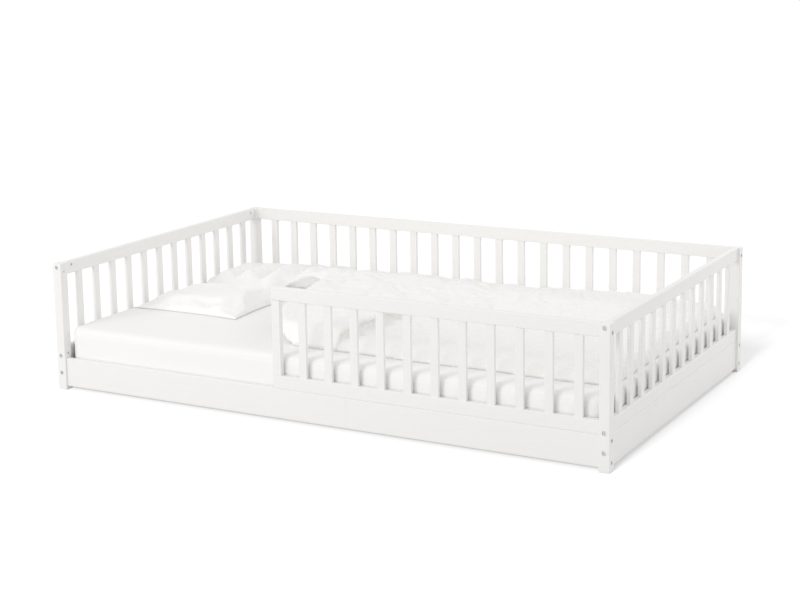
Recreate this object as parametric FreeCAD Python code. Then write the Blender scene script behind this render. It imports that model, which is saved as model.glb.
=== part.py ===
import FreeCAD, Part

import math
import os

# A low wooden children's bed: four corner posts, lower boards close to the
# floor, slatted fences on the back and both ends, a guard along part of the
# front, a slatted base, and a mattress with fitted sheet, pillow and duvet.
# Millimetres. +X runs along the length, +Y to the back fence, +Z up.
# The origin is on the floor under the middle of the bed.

os.makedirs("parts", exist_ok=True)

V = FreeCAD.Vector
X_AXIS = V(1, 0, 0)
Y_AXIS = V(0, 1, 0)
Z_AXIS = V(0, 0, 1)

# ---------------------------------------------------------------- sizes
mattress_length = 2000.0
mattress_width = 1200.0
mattress_thickness = 145.0
mattress_corner_radius = 45.0
mattress_edge_radius = 24.0
mattress_play = 4.0            # air between the mattress and the boards, each side

post_side = 35.0
post_height = 450.0
post_edge_radius = 2.5
plank_thickness = 20.0         # boards and rails, centred on the posts
plank_edge_radius = 2.5
seam_ease = 1.2                # eased outer corners where the two front boards meet
board_height = 100.0
floor_gap = 12.0               # the boards clear the floor by this much
rail_height = 44.0

slat_width = 28.0
slat_thickness = 12.0
slat_edge_radius = 1.5
tenon_length = 10.0
back_slat_count = 21
end_slat_count = 12
guard_slat_count = 11
guard_last_gap = 54.0          # between the last guard slat and the post
entry_width = 860.0            # opening beside the guard
stile_width = 32.0

bolt_radius = 3.0              # M6
bolt_hole_radius = 3.3
bolt_head_radius = 6.0
bolt_head_height = 6.0
bolt_socket_width = 5.0        # across the flats of the hexagon
bolt_socket_depth = 3.5
counterbore_radius = 7.0
counterbore_depth = 8.0
barrel_radius = 5.0
barrel_length = 14.0
barrel_pocket_depth = 17.0
barrel_inset = 32.0            # from the end of the rail to the barrel's axis
bolt_past_barrel = 8.0
bolt_stagger = 8.0             # side bolts sit this far under the rail's middle, end bolts above
board_bolt_edge = 16.5         # side board bolts, from the board's lower and upper edge
end_board_bolt_height = 48.0   # above the board's lower edge
end_rail_bolt_height = 9.0     # above the bottom rail's lower edge

dowel_radius = 4.0
dowel_fit = 0.05
dowel_length = 30.0
dowel_end_play = 1.0
post_dowel_height = 18.0       # above the bottom rail's lower edge
end_board_dowel_offset = 20.0  # above and below the end board's bolt
board_dowel_spacing = 400.0

base_height = 70.0             # top of the slatted base
base_slat_width = 68.0
base_slat_thickness = 14.0
base_slat_count = 14
base_slat_end_play = 3.0
ledger_width = 25.0
ledger_height = 30.0
ledger_end_play = 2.0
screw_radius = 2.0
screw_head_radius = 4.0
screw_head_height = 2.5
screw_length = 38.0
ledger_screw_count = 10
screw_end_margin = 90.0
beam_width = 35.0
beam_height = 42.0
beam_end_play = 4.0
hanger_thickness = 2.0
hanger_flange = 22.0
hanger_depth = 30.0
hanger_drop = 6.0
hanger_screw_length = 16.0
beam_foot_side = 45.0
beam_foot_count = 3
webbing_width = 25.0
webbing_thickness = 0.8
webbing_offset = 390.0         # from the bed's middle line

sheet_thickness = 1.0
sheet_gap = 0.3
sheet_tuck = 90.0              # how far the sheet turns in under the mattress
soft_gap = 0.3

pillow_length = 400.0          # across the bed
pillow_width = 450.0           # along the bed
pillow_height = 88.0
pillow_edge = 10.0
pillow_from_end = 18.0
pillow_centre_y = -70.0
pillow_pinch = 14.0            # how far the sides draw in between the corners
pillow_fullness = 2.6          # power of the crown's curve, higher is squarer
pillow_end_rise = 2.0          # the crown stands this far over the rim at the ends
pillow_stations = 9

duvet_edge = 14.0              # height of the duvet's rim
duvet_single = 32.0            # thickness where it lies in one layer
duvet_double = 71.0            # thickness where its head end is turned back
duvet_front_gap = 115.0        # bare mattress in front of it
duvet_back_gap = 8.0
duvet_left_gap = 30.0
duvet_right_gap = 16.0
duvet_pillow_gap = 20.0        # between the pillow and the pile behind it
duvet_turn_gap = 10.0          # the cloth passes the pillow's corner by this much
duvet_hem_x = -35.0            # the turned-back hem
duvet_hem_drop = 25.0          # run over which the hem steps down to one layer
duvet_folds = 9
duvet_fold_height = 9.0
duvet_fold_step = 1.9          # angle from one fold to the next, in radians
duvet_fold_drift = 0.0042      # how fast the folds wander along the bed
duvet_fold_crown = 0.055       # rise of a fold's arc over its chord

# ---------------------------------------------------------------- places
plank_inset = (post_side - plank_thickness) / 2
frame_wall = plank_inset + plank_thickness
bed_length = mattress_length + 2 * (mattress_play + frame_wall)
bed_width = mattress_width + 2 * (mattress_play + frame_wall)
half_length = bed_length / 2
half_width = bed_width / 2
post_inner_x = half_length - post_side
post_inner_y = half_width - post_side
plank_axis_x = half_length - post_side / 2
plank_axis_y = half_width - post_side / 2
plank_inner_x = half_length - frame_wall
plank_inner_y = half_width - frame_wall

board_top = floor_gap + board_height
bottom_rail_top = board_top + rail_height
top_rail_bottom = post_height - rail_height
top_rail_middle = post_height - rail_height / 2

guard_left = -post_inner_x + entry_width
guard_length = post_inner_x - guard_left
stile_right = guard_left + stile_width
seam_x = -post_inner_x + guard_length

side_rail_bolt_z = top_rail_middle - bolt_stagger
end_rail_bolt_z = top_rail_middle + bolt_stagger
side_board_bolt_z = (floor_gap + board_bolt_edge, board_top - board_bolt_edge)
end_board_bolt_z = floor_gap + end_board_bolt_height
end_bottom_bolt_z = board_top + end_rail_bolt_height
post_dowel_z = board_top + post_dowel_height
end_board_dowel_z = (end_board_bolt_z - end_board_dowel_offset,
                     end_board_bolt_z + end_board_dowel_offset)

bolt_shank = post_side - counterbore_depth + barrel_inset + bolt_past_barrel

base_slat_bottom = base_height - base_slat_thickness
ledger_bottom = base_slat_bottom - ledger_height
beam_bottom = base_slat_bottom - beam_height
mattress_bottom = base_height + sheet_gap + sheet_thickness + soft_gap
mattress_top = mattress_bottom + mattress_thickness
bedding_bottom = mattress_top + sheet_gap + sheet_thickness + soft_gap

pillow_right = -mattress_length / 2 + pillow_from_end + pillow_width
pillow_back = pillow_centre_y + pillow_length / 2


# ---------------------------------------------------------------- helpers
def block(low, high):
    """A plain block between two corners."""
    size = [b - a for a, b in zip(low, high)]
    return Part.makeBox(size[0], size[1], size[2], V(*low))


def edges_along(solid, direction):
    """The straight edges of a block that run along one axis."""
    found = []
    for edge in solid.Edges:
        run = edge.Vertexes[-1].Point - edge.Vertexes[0].Point
        if run.Length > 0 and abs(run.normalize().dot(direction)) > 0.999:
            found.append(edge)
    return found


def eased(low, high, direction, radius):
    """A block whose long edges are rounded."""
    solid = block(low, high)
    return solid.makeFillet(radius, edges_along(solid, direction))


def rod(start, direction, radius, length):
    """A round bar or a round cutting tool."""
    return Part.makeCylinder(radius, length, V(*start), direction)


def unit(axis, sign):
    """A unit vector along X or Y, turned by a sign."""
    return V(axis) * sign


def minus(solid, tools):
    """A solid with holes, pockets and mortises cut from it."""
    return solid.cut(Part.makeCompound(tools)) if tools else solid


def write(name, *solids):
    """Write one node; several solids share it as a group."""
    shape = solids[0] if len(solids) == 1 else Part.makeCompound(list(solids))
    if not shape.isValid() or min(s.Volume for s in shape.Solids) <= 0:
        raise RuntimeError("bad solid in " + name)
    shape.exportStep("parts/" + name + ".step")
    print("%-24s %3d solids %10.0f mm3" % (name, len(shape.Solids), shape.Volume))


def spread(first, last, count):
    """Evenly spaced places from first to last."""
    if count == 1:
        return [(first + last) / 2]
    return [first + i * (last - first) / (count - 1) for i in range(count)]


# ---------------------------------------------------------------- corner joints
class Joint:
    """A plank's end bolted or dowelled to a post.

    face is the point on the post's outer face in line with the fastener, and
    inward points from there into the post and on into the plank. The barrel
    goes in from the plank's face that looks along across.
    """

    def __init__(self, face, inward, across):
        self.face = V(*face)
        self.inward = inward
        self.across = across

    def at(self, depth):
        """The point on the fastener's axis this far in from the face."""
        return self.face + self.inward * depth

    def post_bolt_hole(self):
        """The bolt's hole through the post, with the counterbore for its head."""
        through = rod(self.face, self.inward, bolt_hole_radius, post_side)
        seat = rod(self.face, self.inward, counterbore_radius, counterbore_depth)
        return through.fuse(seat)

    def plank_bolt_hole(self):
        """The bolt's hole in the plank's end and the barrel's pocket."""
        depth = barrel_inset + bolt_past_barrel + bolt_hole_radius
        hole = rod(self.at(post_side), self.inward, bolt_hole_radius, depth)
        middle = self.at(post_side + barrel_inset)
        mouth = middle + self.across * (plank_thickness / 2)
        pocket = rod(mouth, self.across * -1, barrel_radius + dowel_fit, barrel_pocket_depth)
        return hole.fuse(pocket)

    def bolt(self):
        """The bolt, with its head down in the counterbore."""
        seat = self.at(counterbore_depth)
        shank = rod(seat, self.inward, bolt_radius, bolt_shank)
        head = rod(seat - self.inward * bolt_head_height, self.inward,
                   bolt_head_radius, bolt_head_height)
        socket = hexagon(seat - self.inward * bolt_head_height, self.inward,
                         bolt_socket_width, bolt_socket_depth)
        return shank.fuse(head).cut(socket).removeSplitter()

    def barrel(self):
        """The barrel nut across the bolt's end."""
        middle = self.at(post_side + barrel_inset)
        start = middle - self.across * (barrel_length / 2)
        body = rod(start, self.across, barrel_radius, barrel_length)
        thread = rod(middle - self.inward * barrel_radius * 2, self.inward,
                     bolt_radius + dowel_fit, barrel_radius * 4)
        return body.cut(thread)

    def post_dowel_hole(self):
        """The post's half of the dowel's hole."""
        depth = dowel_length / 2 + dowel_end_play
        return rod(self.at(post_side), self.inward * -1, dowel_radius + dowel_fit, depth)

    def plank_dowel_hole(self):
        """The plank's half of the dowel's hole."""
        depth = dowel_length / 2 + dowel_end_play
        return rod(self.at(post_side), self.inward, dowel_radius + dowel_fit, depth)

    def dowel(self):
        """The dowel, half in the post and half in the plank."""
        start = self.at(post_side - dowel_length / 2)
        return rod(start, self.inward, dowel_radius, dowel_length)


def hexagon(start, direction, across_flats, depth):
    """A six-sided prism, the tool for a bolt's socket."""
    side = V(direction).cross(Z_AXIS).normalize()
    up = V(direction).cross(side).normalize()
    reach = across_flats / math.sqrt(3)
    corners = [start + side * (reach * math.cos(math.radians(60 * i)))
               + up * (reach * math.sin(math.radians(60 * i))) for i in range(6)]
    face = Part.Face(Part.makePolygon(corners + corners[:1]))
    return face.extrude(V(direction) * depth)


def side_joint(sx, sy, z):
    """A fastener along X, through the post into the front or back plank.

    Both planks take their barrels from the side that faces the wall.
    """
    face = (sx * half_length, sy * plank_axis_y, z)
    return Joint(face, unit(X_AXIS, -sx), Y_AXIS)


def end_joint(sx, sy, z):
    """A fastener along Y, through the post into an end plank."""
    face = (sx * plank_axis_x, sy * half_width, z)
    return Joint(face, unit(Y_AXIS, -sy), unit(X_AXIS, -sx))


corners = {"front_left": (-1, -1), "front_right": (1, -1),
           "back_left": (-1, 1), "back_right": (1, 1)}


# ---------------------------------------------------------------- posts
def post(sx, sy):
    """A corner post with its bolt and dowel holes."""
    low = (min(sx * half_length, sx * post_inner_x),
           min(sy * half_width, sy * post_inner_y), 0)
    high = (low[0] + post_side, low[1] + post_side, post_height)
    solid = block(low, high)
    solid = solid.makeFillet(post_edge_radius, solid.Edges)
    holes = [side_joint(sx, sy, z).post_bolt_hole()
             for z in (side_rail_bolt_z,) + side_board_bolt_z]
    holes += [end_joint(sx, sy, z).post_bolt_hole()
              for z in (end_rail_bolt_z, end_bottom_bolt_z, end_board_bolt_z)]
    holes.append(side_joint(sx, sy, post_dowel_z).post_dowel_hole())
    holes += [end_joint(sx, sy, z).post_dowel_hole() for z in end_board_dowel_z]
    return minus(solid, holes)


for corner, (sx, sy) in corners.items():
    write("post_" + corner, post(sx, sy))


# ---------------------------------------------------------------- planks
def plank_along_x(x0, x1, sy, z0, z1, tools):
    """A board or rail on the front or back."""
    y = sy * plank_axis_y
    low = (x0, y - plank_thickness / 2, z0)
    high = (x1, y + plank_thickness / 2, z1)
    return minus(eased(low, high, X_AXIS, plank_edge_radius), tools)


def plank_along_y(sx, z0, z1, tools):
    """A board or rail on one end."""
    x = sx * plank_axis_x
    low = (x - plank_thickness / 2, -post_inner_y, z0)
    high = (x + plank_thickness / 2, post_inner_y, z1)
    return minus(eased(low, high, Y_AXIS, plank_edge_radius), tools)


def upright(x, y, z0, z1, along_x, width, thickness):
    """A slat or stile that stands centred on x, y."""
    dx, dy = (width, thickness) if along_x else (thickness, width)
    low = (x - dx / 2, y - dy / 2, z0)
    high = (x + dx / 2, y + dy / 2, z1)
    return low, high


def slats_and_mortises(places, along_x):
    """The slats of a fence and the pockets that hold their ends."""
    slats = []
    pockets = []
    z0 = bottom_rail_top - tenon_length
    z1 = top_rail_bottom + tenon_length
    for x, y in places:
        low, high = upright(x, y, z0, z1, along_x, slat_width, slat_thickness)
        slats.append(eased(low, high, Z_AXIS, slat_edge_radius))
        pockets.append(block(low, high))
    return slats, pockets


def between(first, last, count):
    """Middles of slats that leave equal gaps between first and last."""
    gap = (last - first - count * slat_width) / (count + 1)
    return [first + gap + slat_width / 2 + i * (gap + slat_width) for i in range(count)]


def dowels_between(first, last):
    """Places of the dowels that key a bottom rail to its board."""
    count = max(2, int((last - first) / board_dowel_spacing) + 1)
    margin = (last - first) / (2 * count)
    return spread(first + margin, last - margin, count)


def standing_dowel(x, y):
    """A dowel across the seam between a board and the rail on it."""
    return rod((x, y, board_top - dowel_length / 2), Z_AXIS, dowel_radius, dowel_length)


def standing_dowel_hole(x, y):
    """The hole for such a dowel, half in each plank."""
    depth = dowel_length / 2 + dowel_end_play
    return rod((x, y, board_top - depth), Z_AXIS, dowel_radius + dowel_fit, 2 * depth)


bolts_side = []
bolts_end = []
barrels_side = []
barrels_end = []
dowels_post = []
dowels_board = []


def bolted(joint, bolts, barrels):
    """Add a joint's bolt and barrel, and give the hole for its plank."""
    bolts.append(joint.bolt())
    barrels.append(joint.barrel())
    return joint.plank_bolt_hole()


def dowelled(joint):
    """Add a joint's dowel, and give the hole for its plank."""
    dowels_post.append(joint.dowel())
    return joint.plank_dowel_hole()


# ledger screws, shared by the ledgers and the boards behind them
ledger_screw_x = spread(-plank_inner_x + screw_end_margin, plank_inner_x - screw_end_margin,
                        ledger_screw_count)
ledger_screw_z = ledger_bottom + ledger_height / 2


def ledger_screw(x, sy):
    """A wood screw through the ledger into its board."""
    start = V(x, sy * (plank_inner_y - ledger_width), ledger_screw_z)
    into = unit(Y_AXIS, sy)
    head = Part.makeCone(screw_head_radius, screw_radius, screw_head_height, start, into)
    return head.fuse(rod(start, into, screw_radius, screw_length)).removeSplitter()


def ledger_screw_hole(x, sy):
    """The pilot hole of a ledger screw."""
    start = V(x, sy * (plank_inner_y - ledger_width), ledger_screw_z)
    return rod(start, unit(Y_AXIS, sy), screw_radius + dowel_fit, screw_length + dowel_end_play)


# hanger screws, shared by the beam hangers and the end boards
hanger_screw_y = beam_width / 2 + hanger_thickness + hanger_flange / 2
hanger_screw_z = beam_bottom + beam_height / 2


def hanger_screw(sx, y):
    """A short screw through a hanger's flange into the end board."""
    start = V(sx * (plank_inner_x - hanger_thickness - screw_head_height), y, hanger_screw_z)
    into = unit(X_AXIS, sx)
    head = rod(start, into, screw_head_radius, screw_head_height)
    return head.fuse(rod(start, into, screw_radius, hanger_screw_length)).removeSplitter()


def hanger_screw_hole(sx, y):
    """The hole of a hanger screw in the flange and the board."""
    start = V(sx * (plank_inner_x - hanger_thickness), y, hanger_screw_z)
    return rod(start, unit(X_AXIS, sx), screw_radius + dowel_fit, hanger_screw_length)


# ---------------------------------------------------------------- front
guard_dowel_x = dowels_between(guard_left, seam_x) + dowels_between(seam_x, post_inner_x)
back_dowel_x = dowels_between(-post_inner_x, post_inner_x)
end_dowel_y = dowels_between(-post_inner_y, post_inner_y)
front_y = -plank_axis_y


def seam_groove():
    """The tool that eases the outer corners where the two front boards meet."""
    outer_y = -half_width + plank_inset
    around = [V(seam_x - seam_ease, outer_y, floor_gap), V(seam_x, outer_y + seam_ease, floor_gap),
              V(seam_x + seam_ease, outer_y, floor_gap), V(seam_x, outer_y - seam_ease, floor_gap)]
    face = Part.Face(Part.makePolygon(around + around[:1]))
    return face.extrude(V(0, 0, board_height))


def seam_dowel(z, radius, half):
    """A dowel, or its hole, across the seam of the two front boards."""
    return rod((seam_x - half, front_y, z), X_AXIS, radius, 2 * half)


seam_dowel_z = side_board_bolt_z
seam_half = dowel_length / 2
seam_holes = [seam_dowel(z, dowel_radius + dowel_fit, seam_half + dowel_end_play)
              for z in seam_dowel_z]
seam_tools = seam_holes + [seam_groove()]
front_screw_holes = [ledger_screw_hole(x, -1) for x in ledger_screw_x]
guard_board_holes = [standing_dowel_hole(x, front_y) for x in guard_dowel_x]

tools = [bolted(side_joint(-1, -1, z), bolts_side, barrels_side) for z in side_board_bolt_z]
write("front_board_left", plank_along_x(-post_inner_x, seam_x, -1, floor_gap, board_top,
                                        tools + seam_tools + front_screw_holes + guard_board_holes))
tools = [bolted(side_joint(1, -1, z), bolts_side, barrels_side) for z in side_board_bolt_z]
write("front_board_right", plank_along_x(seam_x, post_inner_x, -1, floor_gap, board_top,
                                         tools + seam_tools + front_screw_holes + guard_board_holes))

guard_run = post_inner_x - stile_right - guard_last_gap
guard_gap = (guard_run - guard_slat_count * slat_width) / guard_slat_count
guard_slat_x = [stile_right + guard_gap + slat_width / 2 + i * (guard_gap + slat_width)
                for i in range(guard_slat_count)]
guard_slats, guard_pockets = slats_and_mortises([(x, front_y) for x in guard_slat_x], True)
stile_x = guard_left + stile_width / 2
stile_holes = [rod((stile_x, front_y, z - dowel_length / 2), Z_AXIS,
                   dowel_radius + dowel_fit, dowel_length) for z in (bottom_rail_top, top_rail_bottom)]
stile_dowels = [rod((stile_x, front_y, z - dowel_length / 2 + dowel_end_play), Z_AXIS,
                    dowel_radius, dowel_length - 2 * dowel_end_play)
                for z in (bottom_rail_top, top_rail_bottom)]

tools = [bolted(side_joint(1, -1, side_rail_bolt_z), bolts_side, barrels_side)]
write("guard_top_rail", plank_along_x(guard_left, post_inner_x, -1, top_rail_bottom, post_height,
                                      tools + guard_pockets + stile_holes))
tools = [dowelled(side_joint(1, -1, post_dowel_z))]
write("guard_bottom_rail", plank_along_x(guard_left, post_inner_x, -1, board_top, bottom_rail_top,
                                         tools + guard_pockets + stile_holes + guard_board_holes))
low, high = upright(stile_x, front_y, bottom_rail_top, top_rail_bottom, True,
                    stile_width, plank_thickness)
write("guard_stile", minus(eased(low, high, Z_AXIS, plank_edge_radius), stile_holes))
write("guard_slats", *guard_slats)
write("guard_stile_dowels", *stile_dowels)
dowels_board += [standing_dowel(x, front_y) for x in guard_dowel_x]

# ---------------------------------------------------------------- back
back_y = plank_axis_y
back_places = [(x, back_y) for x in between(-post_inner_x, post_inner_x, back_slat_count)]
back_slats, back_pockets = slats_and_mortises(back_places, True)
back_board_holes = [standing_dowel_hole(x, back_y) for x in back_dowel_x]
tools = [bolted(side_joint(sx, 1, z), bolts_side, barrels_side)
         for sx in (-1, 1) for z in side_board_bolt_z]
tools += [ledger_screw_hole(x, 1) for x in ledger_screw_x]
write("back_board", plank_along_x(-post_inner_x, post_inner_x, 1, floor_gap, board_top,
                                  tools + back_board_holes))
tools = [bolted(side_joint(sx, 1, side_rail_bolt_z), bolts_side, barrels_side) for sx in (-1, 1)]
write("back_top_rail", plank_along_x(-post_inner_x, post_inner_x, 1, top_rail_bottom, post_height,
                                     tools + back_pockets))
tools = [dowelled(side_joint(sx, 1, post_dowel_z)) for sx in (-1, 1)]
write("back_bottom_rail", plank_along_x(-post_inner_x, post_inner_x, 1, board_top, bottom_rail_top,
                                        tools + back_pockets + back_board_holes))
write("back_slats", *back_slats)
dowels_board += [standing_dowel(x, back_y) for x in back_dowel_x]


# ---------------------------------------------------------------- ends
def end_fence(name, sx):
    """The board, rails and slats of one end."""
    x = sx * plank_axis_x
    places = [(x, y) for y in between(-post_inner_y, post_inner_y, end_slat_count)]
    slats, pockets = slats_and_mortises(places, False)
    keys = [standing_dowel_hole(x, y) for y in end_dowel_y]
    board_tools = []
    top_tools = []
    bottom_tools = []
    for sy in (-1, 1):
        board_tools.append(bolted(end_joint(sx, sy, end_board_bolt_z), bolts_end, barrels_end))
        board_tools += [dowelled(end_joint(sx, sy, z)) for z in end_board_dowel_z]
        board_tools.append(hanger_screw_hole(sx, sy * hanger_screw_y))
        top_tools.append(bolted(end_joint(sx, sy, end_rail_bolt_z), bolts_end, barrels_end))
        bottom_tools.append(bolted(end_joint(sx, sy, end_bottom_bolt_z), bolts_end, barrels_end))
    write(name + "_board", plank_along_y(sx, floor_gap, board_top, board_tools + keys))
    write(name + "_top_rail", plank_along_y(sx, top_rail_bottom, post_height,
                                            top_tools + pockets))
    write(name + "_bottom_rail", plank_along_y(sx, board_top, bottom_rail_top,
                                               bottom_tools + pockets + keys))
    write(name + "_slats", *slats)
    return [standing_dowel(x, y) for y in end_dowel_y]


dowels_board += end_fence("left_end", -1)
dowels_board += end_fence("right_end", 1)

# ---------------------------------------------------------------- fasteners
write("side_bolts", *bolts_side)
write("end_bolts", *bolts_end)
write("side_barrel_nuts", *barrels_side)
write("end_barrel_nuts", *barrels_end)
write("post_dowels", *dowels_post)
write("board_dowels", *dowels_board)
write("seam_dowels", *[seam_dowel(z, dowel_radius, seam_half) for z in seam_dowel_z])


# ---------------------------------------------------------------- slatted base
def ledger(sy):
    """The batten inside the front or back that carries the base slats."""
    ys = sorted((sy * plank_inner_y, sy * (plank_inner_y - ledger_width)))
    reach = post_inner_x - ledger_end_play
    low = (-reach, ys[0], ledger_bottom)
    high = (reach, ys[1], ledger_bottom + ledger_height)
    seats = []
    for x in ledger_screw_x:
        start = V(x, sy * (plank_inner_y - ledger_width), ledger_screw_z)
        into = unit(Y_AXIS, sy)
        seats.append(rod(start, into, screw_radius + dowel_fit, ledger_width))
        seats.append(Part.makeCone(screw_head_radius + dowel_fit, screw_radius + dowel_fit,
                                   screw_head_height, start, into))
    return minus(block(low, high), seats)


write("front_ledger", ledger(-1))
write("back_ledger", ledger(1))
write("ledger_screws", *[ledger_screw(x, sy) for sy in (-1, 1) for x in ledger_screw_x])

beam_reach = plank_inner_x - beam_end_play
write("centre_beam", block((-beam_reach, -beam_width / 2, beam_bottom),
                           (beam_reach, beam_width / 2, base_slat_bottom)))


def hanger(sx):
    """A bent steel shoe on the end board that holds the centre beam."""
    wall = plank_inner_x - hanger_thickness
    inner = wall - hanger_depth
    half = beam_width / 2
    z0 = beam_bottom - hanger_thickness
    z1 = base_slat_bottom - hanger_drop

    def plate(x_near, x_far, y0, y1, low_z, high_z):
        xs = sorted((sx * x_near, sx * x_far))
        return block((xs[0], y0, low_z), (xs[1], y1, high_z))

    shoe = plate(inner, plank_inner_x, -half - hanger_thickness, half + hanger_thickness,
                 z0, beam_bottom)
    for sy in (-1, 1):
        ys = sorted((sy * half, sy * (half + hanger_thickness)))
        shoe = shoe.fuse(plate(inner, plank_inner_x, ys[0], ys[1], z0, z1))
        ys = sorted((sy * half, sy * (half + hanger_thickness + hanger_flange)))
        shoe = shoe.fuse(plate(wall, plank_inner_x, ys[0], ys[1], z0, z1))
    holes = [hanger_screw_hole(sx, sy * hanger_screw_y) for sy in (-1, 1)]
    return minus(shoe.removeSplitter(), holes)


write("beam_hangers", hanger(-1), hanger(1))
write("hanger_screws", *[hanger_screw(sx, sy * hanger_screw_y)
                         for sx in (-1, 1) for sy in (-1, 1)])

foot_reach = bed_length / (beam_foot_count + 1)
foot_places = [foot_reach * (i + 1) - half_length for i in range(beam_foot_count)]
write("beam_feet", *[block((x - beam_foot_side / 2, -beam_foot_side / 2, 0),
                           (x + beam_foot_side / 2, beam_foot_side / 2, beam_bottom))
                     for x in foot_places])

base_slat_half = plank_inner_y - base_slat_end_play
base_first = -post_inner_x + base_slat_width / 2 + base_slat_end_play
base_slat_x = spread(base_first, -base_first, base_slat_count)
write("base_slats", *[eased((x - base_slat_width / 2, -base_slat_half, base_slat_bottom),
                            (x + base_slat_width / 2, base_slat_half, base_height),
                            Y_AXIS, slat_edge_radius) for x in base_slat_x])
write("slat_webbing", *[block((base_slat_x[0], sy * webbing_offset - webbing_width / 2,
                               base_slat_bottom - webbing_thickness),
                              (base_slat_x[-1], sy * webbing_offset + webbing_width / 2,
                               base_slat_bottom)) for sy in (-1, 1)])


# ---------------------------------------------------------------- bedding
def soft_block(grow, bottom, top):
    """The mattress's rounded form, grown by a thickness on every side."""
    x = mattress_length / 2 + grow
    y = mattress_width / 2 + grow
    solid = block((-x, -y, bottom), (x, y, top))
    solid = solid.makeFillet(mattress_corner_radius + grow, edges_along(solid, Z_AXIS))
    rims = [e for e in solid.Edges if abs(e.BoundBox.ZLength) < 0.01]
    return solid.makeFillet(mattress_edge_radius + grow, rims)


write("mattress", soft_block(0, mattress_bottom, mattress_top))
sheet_inner = soft_block(sheet_gap, mattress_bottom - sheet_gap, mattress_top + sheet_gap)
sheet_outer = soft_block(sheet_gap + sheet_thickness,
                         mattress_bottom - sheet_gap - sheet_thickness,
                         mattress_top + sheet_gap + sheet_thickness)
open_x = mattress_length / 2 - sheet_tuck
open_y = mattress_width / 2 - sheet_tuck
underside = block((-open_x, -open_y, 0), (open_x, open_y, mattress_bottom + sheet_thickness))
write("fitted_sheet", sheet_outer.cut(sheet_inner).cut(underside))


def pillow():
    """A crowned pillow whose sides draw in between its corners."""
    left = pillow_right - pillow_width
    rings = []
    for i in range(pillow_stations):
        t = -1 + 2 * i / (pillow_stations - 1)
        pinch = pillow_pinch * (1 - t * t)
        x = left + pillow_width * (t + 1) / 2
        half = pillow_length / 2 - pinch
        fullness = math.sqrt(1 - abs(t) ** pillow_fullness)
        crown = (pillow_height - pillow_edge) * fullness
        top = bedding_bottom + pillow_edge + max(crown, pillow_end_rise)
        y0 = pillow_centre_y - half
        y1 = pillow_centre_y + half
        rim = bedding_bottom + pillow_edge
        rings.append(Part.Wire([
            Part.LineSegment(V(x, y0, bedding_bottom), V(x, y1, bedding_bottom)).toShape(),
            Part.LineSegment(V(x, y1, bedding_bottom), V(x, y1, rim)).toShape(),
            Part.Arc(V(x, y1, rim), V(x, pillow_centre_y, top), V(x, y0, rim)).toShape(),
            Part.LineSegment(V(x, y0, rim), V(x, y0, bedding_bottom)).toShape()]))
    return Part.makeLoft(rings, True, True)


write("pillow", pillow())

# The duvet covers the right of the bed and the back left behind the pillow.
# Its head end is turned back over itself, so it is thicker there.
duvet_front = -mattress_width / 2 + duvet_front_gap
duvet_back = mattress_width / 2 - duvet_back_gap
duvet_left = -mattress_length / 2 + duvet_left_gap
duvet_right = mattress_length / 2 - duvet_right_gap
duvet_run = duvet_right - duvet_hem_x  # the part that lies in one layer
pile_front = pillow_back + duvet_pillow_gap
turn_x = pillow_right + duvet_turn_gap

# Each station: place along the bed, front edge, thickness.
duvet_stations = [
    (duvet_left, pile_front + 20, duvet_edge + 8),
    (duvet_left + 90, pile_front + 6, duvet_double),
    (turn_x - 130, pile_front, duvet_double),
    (turn_x, pile_front - 6, duvet_double),
    (turn_x + 120, pile_front - 265, duvet_double),
    (turn_x + 250, duvet_front + 70, duvet_double),
    (turn_x + 310, duvet_front + 10, duvet_double),
    (duvet_hem_x, duvet_front, duvet_double),
    (duvet_hem_x + duvet_hem_drop, duvet_front, duvet_single),
    (duvet_hem_x + 0.2 * duvet_run, duvet_front + 8, duvet_single),
    (duvet_hem_x + 0.4 * duvet_run, duvet_front - 6, duvet_single),
    (duvet_hem_x + 0.6 * duvet_run, duvet_front + 5, duvet_single),
    (duvet_hem_x + 0.8 * duvet_run, duvet_front - 4, duvet_single),
    (duvet_right - 60, duvet_front + 3, duvet_single),
    (duvet_right, duvet_front + 20, duvet_edge + 6),
]


def duvet_section(x, front, thickness):
    """One cut across the duvet, with its folds as shallow arcs."""
    rim = bedding_bottom + duvet_edge
    loft = thickness - duvet_edge
    step = (duvet_back - front) / duvet_folds
    marks = [V(x, front, rim)]
    for i in range(1, duvet_folds):
        wave = math.sin(duvet_fold_step * i + duvet_fold_drift * x)
        fold = duvet_fold_height * wave / duvet_single
        marks.append(V(x, front + i * step, rim + loft * (1 + fold)))
    marks.append(V(x, duvet_back, rim))
    floor = [V(x, front, bedding_bottom), V(x, duvet_back, bedding_bottom)]
    edges = [Part.LineSegment(floor[0], floor[1]).toShape(),
             Part.LineSegment(floor[1], marks[-1]).toShape()]
    for a, b in zip(marks[:0:-1], marks[-2::-1]):
        middle = (a + b) / 2 + V(0, 0, duvet_fold_crown * (a - b).Length)
        edges.append(Part.Arc(a, middle, b).toShape())
    edges.append(Part.LineSegment(marks[0], floor[0]).toShape())
    return Part.Wire(edges)


write("duvet", Part.makeLoft([duvet_section(*s) for s in duvet_stations], True, True))
print("bed %.0f x %.0f x %.0f mm" % (bed_length, bed_width, post_height))
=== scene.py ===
"""A low wooden children's bed with slatted fences, a guard and its bedding.

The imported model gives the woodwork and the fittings, which get their finishes
here. The mattress, the fitted sheet, the pillow and the duvet are made here in
the places of their plain solids.
"""

import enum
import logging
import math
from dataclasses import dataclass

import bmesh
import bpy
import numpy as np
from mathutils import Matrix, Vector, noise


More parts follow.
